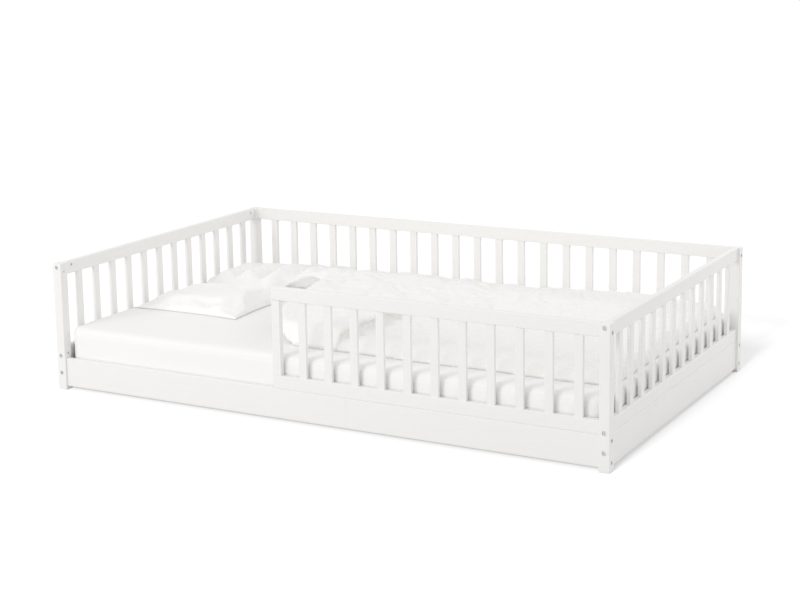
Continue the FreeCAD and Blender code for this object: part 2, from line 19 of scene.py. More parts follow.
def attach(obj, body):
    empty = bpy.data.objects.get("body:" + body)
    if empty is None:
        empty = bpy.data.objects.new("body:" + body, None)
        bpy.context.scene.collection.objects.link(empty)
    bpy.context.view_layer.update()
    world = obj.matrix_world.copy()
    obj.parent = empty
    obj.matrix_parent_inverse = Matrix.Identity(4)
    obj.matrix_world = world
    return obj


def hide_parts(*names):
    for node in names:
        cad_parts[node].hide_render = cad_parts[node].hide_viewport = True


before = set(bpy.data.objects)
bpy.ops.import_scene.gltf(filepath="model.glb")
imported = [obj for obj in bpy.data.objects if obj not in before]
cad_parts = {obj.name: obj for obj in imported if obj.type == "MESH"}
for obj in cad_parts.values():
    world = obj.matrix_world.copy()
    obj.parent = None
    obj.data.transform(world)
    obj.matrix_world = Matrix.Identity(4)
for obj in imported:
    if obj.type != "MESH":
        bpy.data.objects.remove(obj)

LOG = logging.getLogger("floor_bed")

PHOTO_SIZE = (800, 600)
MM = 0.001
WAVE_RATE = 20      # Blender's wave texture turns by 20 radians a metre at a scale of 1


# ------------------------------------------------------------------ helpers
def srgb(code: str) -> tuple[float, float, float, float]:
    """Turn an sRGB hex value to a linear colour.

    Args:
        code: six hex digits after a number sign.

    Returns:
        Linear red, green, blue and an alpha of one.
    """
    channels = [int(code[i:i + 2], 16) / 255 for i in (1, 3, 5)]
    linear = [c / 12.92 if c <= 0.04045 else ((c + 0.055) / 1.055) ** 2.4 for c in channels]
    return (*linear, 1.0)


def add_node(tree: bpy.types.NodeTree, kind: str, inputs: dict | None = None,
             **settings: object) -> bpy.types.Node:
    """Add a node with its settings and links.

    Args:
        tree: the node tree it goes in.
        kind: Blender's name of the node's type.
        inputs: socket name or number, to a value or to the output that feeds it.
        settings: the node's own properties.

    Returns:
        The new node.
    """
    node = tree.nodes.new(kind)
    for name, value in settings.items():
        setattr(node, name, value)
    for socket, value in (inputs or {}).items():
        if isinstance(value, bpy.types.NodeSocket):
            tree.links.new(value, node.inputs[socket])
        else:
            node.inputs[socket].default_value = value
    return node


def new_material(name: str) -> tuple[bpy.types.Material, bpy.types.NodeTree]:
    """Make an empty node material.

    Args:
        name: the material's name.

    Returns:
        The material and its node tree.
    """
    material = bpy.data.materials.new(name)
    material.use_nodes = True
    material.node_tree.nodes.clear()
    return material, material.node_tree


def add_seen_share(tree: bpy.types.NodeTree) -> bpy.types.NodeSocket:
    """Add the nodes that tell the camera's view of a surround from its light.

    Args:
        tree: the node tree they go in.

    Returns:
        An output of 1 where the camera, a reflection or a see-through sees it, or 0.
    """
    path = add_node(tree, "ShaderNodeLightPath")
    seen = add_node(tree, "ShaderNodeMath", {
        0: path.outputs["Is Camera Ray"], 1: path.outputs["Is Glossy Ray"]}, operation="MAXIMUM")
    seen = add_node(tree, "ShaderNodeMath", {
        0: seen.outputs[0], 1: path.outputs["Is Transmission Ray"]}, operation="MAXIMUM")
    return seen.outputs[0]


def dress(node_name: str, material: bpy.types.Material) -> None:
    """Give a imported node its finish.

    Args:
        node_name: the node's name in the record.
        material: the finish.
    """
    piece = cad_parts[node_name]
    piece.data.materials.clear()
    piece.data.materials.append(material)
    LOG.info("dressed %s with %s", node_name, material.name)


def to_object(bm: bmesh.types.BMesh, name: str, material: bpy.types.Material,
              smooth: bool = True) -> bpy.types.Object:
    """Turn a bmesh into an object at the origin.

    Args:
        bm: the mesh, which is freed.
        name: the piece's name.
        material: its finish.
        smooth: whether its faces are shaded smooth.

    Returns:
        The new object, linked to the scene.
    """
    mesh = bpy.data.meshes.new(name)
    bm.to_mesh(mesh)
    bm.free()
    mesh.materials.append(material)
    mesh.polygons.foreach_set("use_smooth", [smooth] * len(mesh.polygons))
    piece = bpy.data.objects.new(name, mesh)
    bpy.context.scene.collection.objects.link(piece)
    return piece


def eased_step(value: float, low: float, high: float) -> float:
    """A smooth step from 0 at low to 1 at high.

    Args:
        value: where on the step.
        low: its foot.
        high: its head; it may be below the foot.

    Returns:
        A number from 0 to 1.
    """
    t = min(1.0, max(0.0, (value - low) / (high - low)))
    return t * t * (3 - 2 * t)


# ------------------------------------------------------------------ finishes
class Grain(enum.Enum):
    """The row axis that a plank's grain runs along."""

    ALONG_X = 0
    ALONG_Y = 1
    ALONG_Z = 2


@dataclass(frozen=True)
class PaintedPine:
    """Solid pine under white satin lacquer, sprayed and rubbed down.

    The eye sees a soft broad highlight, a trace of the grain that the lacquer
    sank into, with painted shade in its valleys, and hardly any colour.
    """

    grain: Grain
    colour: str = "#F3F2F0"
    # valley: the colour of the painted shade in the grain's low parts
    valley: str = "#F1F0EE"
    roughness: float = 0.42
    grain_width_mm: float = 3.0
    grain_length_mm: float = 140.0
    peel_mm: float = 1.6

    def build(self) -> bpy.types.Material:
        """Make the material.

        Returns:
            The finished material.
        """
        material, tree = new_material("satin_lacquer_pine_" + self.grain.name.lower())
        place = add_node(tree, "ShaderNodeTexCoord")
        stretch = [1 / (self.grain_width_mm * MM)] * 3
        stretch[self.grain.value] = 1 / (self.grain_length_mm * MM)
        along = add_node(tree, "ShaderNodeMapping", {"Vector": place.outputs["Object"],
                                                     "Scale": stretch})
        grain = add_node(tree, "ShaderNodeTexNoise", {
            "Vector": along.outputs[0], "Scale": 1.0, "Detail": 4.0, "Roughness": 0.55})
        peel = add_node(tree, "ShaderNodeTexNoise", {
            "Vector": place.outputs["Object"], "Scale": 1 / (self.peel_mm * MM), "Detail": 2.0})
        # painted shade: the grain's low parts, where the bump sinks, take the darker valley colour
        share = add_node(tree, "ShaderNodeMapRange", {
            "Value": grain.outputs[0], "From Min": 0.35, "From Max": 0.6})
        tint = add_node(tree, "ShaderNodeMix", {
            0: share.outputs[0], 6: srgb(self.valley), 7: srgb(self.colour)}, data_type="RGBA")
        low = add_node(tree, "ShaderNodeBump", {
            "Height": peel.outputs[0], "Strength": 0.1, "Distance": 0.0002})
        bump = add_node(tree, "ShaderNodeBump", {
            "Height": grain.outputs[0], "Strength": 0.1, "Distance": 0.0002,
            "Normal": low.outputs[0]})
        shader = add_node(tree, "ShaderNodeBsdfPrincipled", {
            "Base Color": tint.outputs[2], "Roughness": self.roughness,
            "IOR": 1.5, "Normal": bump.outputs[0]})
        add_node(tree, "ShaderNodeOutputMaterial", {"Surface": shader.outputs[0]})
        return material


@dataclass(frozen=True)
class BareWood:
    """Planed softwood or turned beech without a finish.

    The eye sees bands of early and late wood along the grain, with finer fibres
    over them, and no gloss.
    """

    name: str
    grain: Grain
    light: str
    dark: str
    ring_mm: float = 7.0
    fibre_mm: float = 0.8
    squeeze: float = 0.03
    roughness: float = 0.62

    def build(self) -> bpy.types.Material:
        """Make the material.

        Returns:
            The finished material.
        """
        material, tree = new_material(self.name + "_" + self.grain.name.lower())
        place = add_node(tree, "ShaderNodeTexCoord")
        stretch = [1.0, 1.0, 1.0]
        stretch[self.grain.value] = self.squeeze
        along = add_node(tree, "ShaderNodeMapping", {"Vector": place.outputs["Object"],
                                                     "Scale": stretch})
        rings = add_node(tree, "ShaderNodeTexNoise", {
            "Vector": along.outputs[0], "Scale": 1 / (self.ring_mm * MM), "Detail": 3.0,
            "Distortion": 0.6})
        fibre = add_node(tree, "ShaderNodeTexNoise", {
            "Vector": along.outputs[0], "Scale": 1 / (self.fibre_mm * MM), "Detail": 2.0})
        share = add_node(tree, "ShaderNodeMapRange", {
            "Value": rings.outputs[0], "From Min": 0.35, "From Max": 0.65})
        tint = add_node(tree, "ShaderNodeMix", {
            0: share.outputs[0], 6: srgb(self.dark), 7: srgb(self.light)}, data_type="RGBA")
        bump = add_node(tree, "ShaderNodeBump", {
            "Height": fibre.outputs[0], "Strength": 0.35, "Distance": 0.0004})
        shader = add_node(tree, "ShaderNodeBsdfPrincipled", {
            "Base Color": tint.outputs[2], "Roughness": self.roughness,
            "IOR": 1.48, "Normal": bump.outputs[0]})
        add_node(tree, "ShaderNodeOutputMaterial", {"Surface": shader.outputs[0]})
        return material


@dataclass(frozen=True)
class ZincSteel:
    """Cold-headed steel with bright zinc plating.

    A pale grey metal, a little cloudy, with fine scratches from the tumbling.
    """

    colour: str = "#DEDFDF"
    cloudy: str = "#C4C6C7"
    roughness: float = 0.42
    cloud_mm: float = 3.0
    scratch_mm: float = 0.25

    def build(self) -> bpy.types.Material:
        """Make the material.

        Returns:
            The finished material.
        """
        material, tree = new_material("zinc_plated_steel")
        place = add_node(tree, "ShaderNodeTexCoord")
        cloud = add_node(tree, "ShaderNodeTexNoise", {
            "Vector": place.outputs["Object"], "Scale": 1 / (self.cloud_mm * MM), "Detail": 3.0})
        scratch = add_node(tree, "ShaderNodeTexNoise", {
            "Vector": place.outputs["Object"], "Scale": 1 / (self.scratch_mm * MM)})
        tint = add_node(tree, "ShaderNodeMix", {
            0: cloud.outputs[0], 6: srgb(self.cloudy), 7: srgb(self.colour)}, data_type="RGBA")
        gloss = add_node(tree, "ShaderNodeMapRange", {
            "Value": cloud.outputs[0], "To Min": self.roughness - 0.08,
            "To Max": self.roughness + 0.1})
        bump = add_node(tree, "ShaderNodeBump", {
            "Height": scratch.outputs[0], "Strength": 0.15, "Distance": 0.0001})
        shader = add_node(tree, "ShaderNodeBsdfPrincipled", {
            "Base Color": tint.outputs[2], "Metallic": 1.0,
            "Roughness": gloss.outputs[0], "Normal": bump.outputs[0]})
        add_node(tree, "ShaderNodeOutputMaterial", {"Surface": shader.outputs[0]})
        return material


@dataclass(frozen=True)
class WovenCloth:
    """Cotton or polyester thread, woven or knitted, and on the bedding washed soft.

    Threads cross at right angles under a faint sheen, and the gaps between them take
    the darker shade colour as painted shade. They are drawn a little coarser than the real
    thread so that they still show, with small creases between the larger folds.
    """

    name: str
    colour: str
    # shade: the colour of the painted shade in the gaps between the threads
    shade: str
    thread_mm: float = 0.9
    crease_mm: float = 22.0
    crease_depth_mm: float = 1.6
    sheen: float = 0.18
    roughness: float = 0.88

    def build(self) -> bpy.types.Material:
        """Make the material.

        Returns:
            The finished material.
        """
        material, tree = new_material(self.name)
        place = add_node(tree, "ShaderNodeTexCoord")
        turns = math.pi / (self.thread_mm * MM) / WAVE_RATE
        warp = add_node(tree, "ShaderNodeTexWave", {
            "Vector": place.outputs["Object"], "Scale": turns, "Distortion": 0.6,
            "Detail Scale": 0.4}, bands_direction="X")
        weft = add_node(tree, "ShaderNodeTexWave", {
            "Vector": place.outputs["Object"], "Scale": turns, "Distortion": 0.6,
            "Detail Scale": 0.4}, bands_direction="Y")
        weave = add_node(tree, "ShaderNodeMath", {
            0: warp.outputs["Fac"], 1: weft.outputs["Fac"]}, operation="MULTIPLY")
        crease = add_node(tree, "ShaderNodeTexNoise", {
            "Vector": place.outputs["Object"], "Scale": 1 / (self.crease_mm * MM),
            "Detail": 5.0, "Roughness": 0.6, "Distortion": 0.8}, noise_type="RIDGED_MULTIFRACTAL")
        # painted shade: the weave's low parts between the threads take the darker shade colour
        tint = add_node(tree, "ShaderNodeMix", {
            0: weave.outputs[0], 6: srgb(self.shade), 7: srgb(self.colour)}, data_type="RGBA")
        fine = add_node(tree, "ShaderNodeBump", {
            "Height": weave.outputs[0], "Strength": 0.25, "Distance": 0.0003})
        bump = add_node(tree, "ShaderNodeBump", {
            "Height": crease.outputs[0], "Strength": 0.35,
            "Distance": self.crease_depth_mm * MM, "Normal": fine.outputs[0]})
        shader = add_node(tree, "ShaderNodeBsdfPrincipled", {
            "Base Color": tint.outputs[2], "Roughness": self.roughness, "IOR": 1.46,
            "Sheen Weight": self.sheen, "Sheen Roughness": 0.5,
            "Specular IOR Level": 0.25, "Normal": bump.outputs[0]})
        add_node(tree, "ShaderNodeOutputMaterial", {"Surface": shader.outputs[0]})
        return material


# ------------------------------------------------------------------ woodwork
class Woodwork:
    """The painted frame, the bare base and the fittings."""

    ALONG_X = ("front_board_left", "front_board_right", "guard_top_rail", "guard_bottom_rail",
               "back_board", "back_top_rail", "back_bottom_rail")
    ALONG_Y = ("left_end_board", "left_end_top_rail", "left_end_bottom_rail",
               "right_end_board", "right_end_top_rail", "right_end_bottom_rail")
    ALONG_Z = ("post_front_left", "post_front_right", "post_back_left", "post_back_right",
               "guard_stile", "guard_slats", "back_slats", "left_end_slats", "right_end_slats")
    PINE_ALONG_X = ("front_ledger", "back_ledger", "centre_beam")
    PINE_ALONG_Y = ("base_slats", "beam_feet")
    DOWELS = ("post_dowels", "board_dowels", "seam_dowels", "guard_stile_dowels")
    FITTINGS = ("side_bolts", "end_bolts", "side_barrel_nuts", "end_barrel_nuts",
                "beam_hangers", "hanger_screws", "ledger_screws")

    def build(self) -> None:
        """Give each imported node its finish."""
        for names, grain in ((self.ALONG_X, Grain.ALONG_X), (self.ALONG_Y, Grain.ALONG_Y),
                             (self.ALONG_Z, Grain.ALONG_Z)):
            paint = PaintedPine(grain).build()
            for name in names:
                dress(name, paint)
        for names, grain in ((self.PINE_ALONG_X, Grain.ALONG_X),
                             (self.PINE_ALONG_Y, Grain.ALONG_Y)):
            pine = BareWood("planed_pine", grain, "#DDBD8B", "#C39A62").build()
            for name in names:
                dress(name, pine)
        beech = BareWood("beech_dowel", Grain.ALONG_X, "#CFA67A", "#B98A5C", ring_mm=2.0).build()
        for name in self.DOWELS:
            dress(name, beech)
        steel = ZincSteel().build()
        for name in self.FITTINGS:
            dress(name, steel)
        webbing = WovenCloth("polyester_webbing", "#E2DFD6", "#C9C5B9", thread_mm=1.4,
                              crease_depth_mm=0.2).build()
        dress("slat_webbing", webbing)


# ------------------------------------------------------------------ mattress and sheet
@dataclass
class RoundedSlab:
    """A slab with round corners in plan and rounded rims, on a grid of points."""

    half_x: float
    half_y: float
    bottom: float
    top: float
    corner: float
    rim: float
    spacing: float = 0.02
    least_steps: int = 6

    def shape(self) -> bmesh.types.BMesh:
        """Make the slab as one closed mesh.

        Returns:
            The mesh.
        """
        bm = bmesh.new()
        across = [round(2 * half / self.spacing) for half in (self.half_x, self.half_y)]
        bmesh.ops.create_grid(bm, x_segments=across[0], y_segments=across[1], size=1.0)
        bmesh.ops.scale(bm, vec=(self.half_x, self.half_y, 1.0), verts=bm.verts)
        bmesh.ops.translate(bm, vec=(0, 0, self.bottom), verts=bm.verts)
        bmesh.ops.reverse_faces(bm, faces=bm.faces)
        floor = list(bm.verts)
        steps = max(self.least_steps, round((self.top - self.bottom) / self.spacing))
        rim = [edge for edge in bm.edges if edge.is_boundary]
        for _ in range(steps):
            made = bmesh.ops.extrude_edge_only(bm, edges=rim)["geom"]
            verts = [item for item in made if isinstance(item, bmesh.types.BMVert)]
            bmesh.ops.translate(bm, vec=(0, 0, (self.top - self.bottom) / steps), verts=verts)
            rim = [item for item in made if isinstance(item, bmesh.types.BMEdge)]
        flat = [f for f in bm.faces if f.calc_center_median().z <= self.bottom + 1e-6]
        lid = bmesh.ops.duplicate(bm, geom=floor + flat)["geom"]
        lid_verts = [item for item in lid if isinstance(item, bmesh.types.BMVert)]
        bmesh.ops.translate(bm, vec=(0, 0, self.top - self.bottom), verts=lid_verts)
        bmesh.ops.remove_doubles(bm, verts=bm.verts, dist=1e-5)
        for vert in bm.verts:
            vert.co = self.rounded(vert.co)
        bmesh.ops.recalc_face_normals(bm, faces=bm.faces)
        return bm

    def rounded(self, point: Vector) -> Vector:
        """Move a point of the plain box onto the rounded slab.

        Args:
            point: a point on the box.

        Returns:
            Where it goes.
        """
        side = Vector((math.copysign(1, point.x), math.copysign(1, point.y)))
        reach = Vector((abs(point.x) - (self.half_x - self.corner),
                        abs(point.y) - (self.half_y - self.corner)))
        x, y = abs(point.x), abs(point.y)
        if reach.x > 0 and reach.y > 0:
            length = max(reach.x, reach.y)
            out = reach.normalized()
            inset = self.corner - length
            x = self.half_x - self.corner + out.x * length
            y = self.half_y - self.corner + out.y * length
        else:
            out = Vector((1, 0)) if self.half_x - x < self.half_y - y else Vector((0, 1))
            inset = min(self.half_x - x, self.half_y - y)
        below = min(self.top - point.z, point.z - self.bottom)
        z = point.z
        if inset < self.rim and below < self.rim:
            turn = Vector((self.rim - inset, self.rim - below))
            length = max(turn)
            turn = turn.normalized() * length
            x -= out.x * (self.rim - turn.x - inset)
            y -= out.y * (self.rim - turn.x - inset)
            if point.z > (self.top + self.bottom) / 2:
                z = self.top - self.rim + turn.y
            else:
                z = self.bottom + self.rim - turn.y
        return Vector((side.x * x, side.y * y, z))


@dataclass
class Mattress:
    """The foam core in its knitted cover, and the fitted sheet stretched over it."""

    half_x: float = 1.0
    half_y: float = 0.6
    bottom: float = 0.0716
    top: float = 0.2166
    corner: float = 0.045
    rim: float = 0.024
    sheet_gap: float = 0.0003
    sheet_thick: float = 0.001
    sheet_tuck: float = 0.09
    gather_depth: float = 0.0006
    gather_turns: float = 240.0
    gather_width: float = 0.06
    underside: float = 0.004
    corner_pull: float = 0.0007
    corner_folds: float = 9.0
    slack: float = 0.0003
    slack_rate: float = 5

    CORNER_SPAN = (0.28, 0.05)
    WALL_SPAN = 0.1

    def build_core(self) -> bpy.types.Object:
        """Make the mattress itself.

        Returns:
            The piece.
        """
        cover = WovenCloth("knitted_mattress_cover", "#ECEAE4", "#DAD7CF", thread_mm=2.2,
                            crease_depth_mm=0.4).build()
        slab = RoundedSlab(self.half_x, self.half_y, self.bottom, self.top, self.corner,
                           self.rim, spacing=0.03)
        piece = to_object(slab.shape(), "mattress_core", cover)
        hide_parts("mattress")
        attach(piece, "mattress")
        return piece

    def build_sheet(self) -> bpy.types.Object:
        """Make the fitted sheet, open below with a gathered elastic hem.

        Returns:
            The piece.
        """
        grow = self.sheet_gap + self.sheet_thick
        slab = RoundedSlab(self.half_x + grow, self.half_y + grow, self.bottom - grow,
                           self.top + grow, self.corner + grow, self.rim + grow, spacing=0.015)
        bm = slab.shape()
        open_x, open_y = self.half_x - self.sheet_tuck, self.half_y - self.sheet_tuck
        hole = [f for f in bm.faces if f.calc_center_median().z < self.bottom
                and abs(f.calc_center_median().x) < open_x
                and abs(f.calc_center_median().y) < open_y]
        bmesh.ops.delete(bm, geom=hole, context="FACES")
        for vert in bm.verts:
            vert.co += self.ripple(vert.co)
        cotton = WovenCloth("cotton_jersey_sheet", "#FBFAF9", "#F7F6F5", thread_mm=0.8,
                             crease_mm=60.0, crease_depth_mm=0.8).build()
        piece = to_object(bm, "fitted_sheet_cloth", cotton)
        wall = piece.modifiers.new("cloth_thickness", "SOLIDIFY")
        wall.thickness = self.sheet_thick
        wall.offset = -1.0
        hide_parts("fitted_sheet")
        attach(piece, "mattress")
        return piece

    def ripple(self, point: Vector) -> Vector:
        """The small waves of the stretched sheet.

        Args:
            point: a point of the smooth sheet.

        Returns:
            How far it moves.
        """
        if point.z < self.bottom + self.underside:
            edge = max(abs(point.x) - (self.half_x - self.sheet_tuck),
                       abs(point.y) - (self.half_y - self.sheet_tuck))
            gather = eased_step(edge, self.gather_width, 0.0)
            wave = math.sin(self.gather_turns * point.x) + math.sin(self.gather_turns * point.y)
            return Vector((0, 0, -self.gather_depth - self.gather_depth * gather * wave))
        corner = Vector((self.half_x - abs(point.x), self.half_y - abs(point.y)))
        pull = eased_step(corner.length, *self.CORNER_SPAN)
        pull *= eased_step(point.z, self.top - self.WALL_SPAN, self.top)
        fan = math.sin(self.corner_folds * math.atan2(corner.y, corner.x + 1e-6) * 2)
        low = noise.noise(Vector((point.x * self.slack_rate, point.y * self.slack_rate, 2.0)))
        return Vector((0, 0, self.corner_pull * pull * fan + self.slack * low))


# ------------------------------------------------------------------ cloth
@dataclass
class Drape:
    """Settings of a cloth run that makes a cover crumple over its filling."""

    frames: int = 24
    grow: float = 0.05
    pressure: float = 0.0
    gravity: float = 1.0
    bending: float = 0.15
    tension: float = 25.0
    mass: float = 0.12
    quality: int = 6
    air_drag: float = 2.0
    core_gap: float = 0.002
    core_grip: float = 8.0
    cap: float = 0.03

    def run(self, piece: bpy.types.Object, pins: list[int],
            core: bpy.types.Object | None = None) -> None:
        """Crumple the piece and keep the result in its mesh.

        Args:
            piece: the piece, whose mesh is changed in place.
            pins: numbers of the points that stay.
            core: a filling that the cloth can't pass.
        """
        scene = bpy.context.scene
        start = np.empty(len(piece.data.vertices) * 3, np.float32)
        piece.data.vertices.foreach_get("co", start)
        group = piece.vertex_groups.new(name="held")
        group.add(pins, 1.0, "REPLACE")
        if core is not None:
            core.modifiers.new("filling", "COLLISION")
            core.collision.thickness_outer = self.core_gap
            core.collision.cloth_friction = self.core_grip
        cloth = piece.modifiers.new("cloth", "CLOTH")
        settings = cloth.settings
        settings.quality = self.quality
        settings.mass = self.mass
        settings.tension_stiffness = self.tension
        settings.compression_stiffness = self.tension
        settings.shear_stiffness = self.tension / 3
        settings.bending_stiffness = self.bending
        settings.air_damping = self.air_drag
        settings.vertex_group_mass = group.name
        settings.shrink_min = -self.grow
        settings.effector_weights.gravity = self.gravity
        if self.pressure:
            settings.use_pressure = True
            settings.uniform_pressure_force = self.pressure
        cloth.collision_settings.use_collision = core is not None
        cloth.collision_settings.distance_min = self.core_gap
        cloth.collision_settings.use_self_collision = False
        cloth.point_cache.frame_start = 1
        cloth.point_cache.frame_end = self.frames
        for number in range(1, self.frames + 1):
            scene.frame_set(number)
        seen = piece.evaluated_get(bpy.context.evaluated_depsgraph_get())
        made = np.empty(len(seen.data.vertices) * 3, np.float32)
        seen.data.vertices.foreach_get("co", made)
        moved = (made - start).reshape(-1, 3)
        length = np.linalg.norm(moved, axis=1, keepdims=True)
        moved *= np.minimum(1.0, self.cap / np.maximum(length, 1e-9))
        piece.modifiers.remove(cloth)
        piece.vertex_groups.remove(group)
        piece.data.vertices.foreach_set("co", start + moved.reshape(-1))
        piece.data.update()
        scene.frame_set(1)
        LOG.info("crumpled %s by up to %.1f mm", piece.name, float(length.max()) / MM)


# ------------------------------------------------------------------ pillow
@dataclass
class Pillow:
    """A flat child's pillow, fuller in the middle, with a seam round its edge."""

    left: float = -0.975
    right: float = -0.522
    front: float = -0.265
    back: float = 0.128
    base: float = 0.2184
    crown: float = 0.056
    lean: float = 0.22
    left_power: float = 2.4
    right_power: float = 3.2
    seam_height: float = 0.002
    front_seam: float = 0.4
    side_power: int = 6
    under_rate: float = 3.5
    held: float = 0.009
    pinch: float = 0.016
    pinch_power: int = 4
    dent: float = 0.006
    dent_rate: float = 9
    spacing: float = 0.011

    def height(self, u: float, v: float) -> float:
        """The share of the crown at a place.

        Args:
            u: from -1 at the left edge to 1 at the right.
            v: from -1 at the front edge to 1 at the back.

        Returns:
            From 0 at the seam to 1 in the middle, more towards the right.
        """
        power = self.right_power if u > 0 else self.left_power
        fall = max(0.0, 1 - abs(u) ** power) * max(0.0, 1 - abs(v) ** self.left_power)
        return fall ** 0.5 * (1 + self.lean * u)

    def build(self) -> bpy.types.Object:
        """Make the pillow.

        Returns:
            The piece.
        """
        bm = bmesh.new()
        counts = (round((self.right - self.left) / self.spacing),
                  round((self.back - self.front) / self.spacing))
        bmesh.ops.create_grid(bm, x_segments=counts[0], y_segments=counts[1], size=1.0)
        lid = bmesh.ops.duplicate(bm, geom=list(bm.verts) + list(bm.edges) + list(bm.faces))["geom"]
        upper = {item for item in lid if isinstance(item, bmesh.types.BMVert)}
        middle = Vector(((self.left + self.right) / 2, (self.front + self.back) / 2))
        half = Vector(((self.right - self.left) / 2, (self.back - self.front) / 2))
        for vert in bm.verts:
            u, v = vert.co.x, vert.co.y
            beside = max(0.0, u) ** self.side_power
            rise = self.seam_height * (self.front_seam + (1 - self.front_seam) * beside)
            seam = self.base + rise
            share = self.height(u, v)
            drawn_x = self.pinch / half.x * (1 - v * v) * abs(u) ** self.pinch_power
            drawn_y = self.pinch / half.y * (1 - u * u) * abs(v) ** self.pinch_power
            x = middle.x + half.x * u * (1 - drawn_x)
            y = middle.y + half.y * v * (1 - drawn_y)
            dent = self.dent * noise.noise(Vector((x * self.dent_rate, y * self.dent_rate, 4.0)))
            if vert in upper:
                z = seam + (self.crown - rise) * share + dent * share
            else:
                z = seam - rise * min(1.0, share * self.under_rate)
            vert.co = Vector((x, y, z))
        bmesh.ops.remove_doubles(bm, verts=bm.verts, dist=2e-4)
        bmesh.ops.recalc_face_normals(bm, faces=bm.faces)
        sharpen_seam(bm, self.base + self.seam_height + 1e-4)
        cotton = WovenCloth("cotton_percale_pillow", "#FDFCFB", "#F9F8F7", thread_mm=0.7,
                             crease_mm=26.0).build()
        pins = [v.index for v in bm.verts if v.co.z <= self.base + self.held]
        piece = to_object(bm, "pillow_cushion", cotton)
        Drape(frames=16, grow=0.035, pressure=1.2, gravity=0.0, bending=0.08,
              cap=0.012).run(piece, pins)
        self.rest(piece)
        smooth = piece.modifiers.new("smooth", "SUBSURF")
        smooth.levels = smooth.render_levels = 1
        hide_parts("pillow")
        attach(piece, "pillow")
        return piece

    def rest(self, piece: bpy.types.Object) -> None:
        """Flatten the underside where it lies on the sheet.

        Args:
            piece: the pillow.
        """
        for vert in piece.data.vertices:
            vert.co.z = max(vert.co.z, self.base)


def sharpen_seam(bm: bmesh.types.BMesh, top: float) -> None:
    """Keep the seam that lies on the sheet from being rounded.

    Args:
        bm: the mesh of the pillow or the duvet.
        top: the seam is lower than this.
    """
    crease = bm.edges.layers.float.new("crease_edge")
    for edge in bm.edges:
        if max(v.co.z for v in edge.verts) < top \
                and len({f.normal.z > -0.9 for f in edge.link_faces}) == 2:
            edge[crease] = 1.0


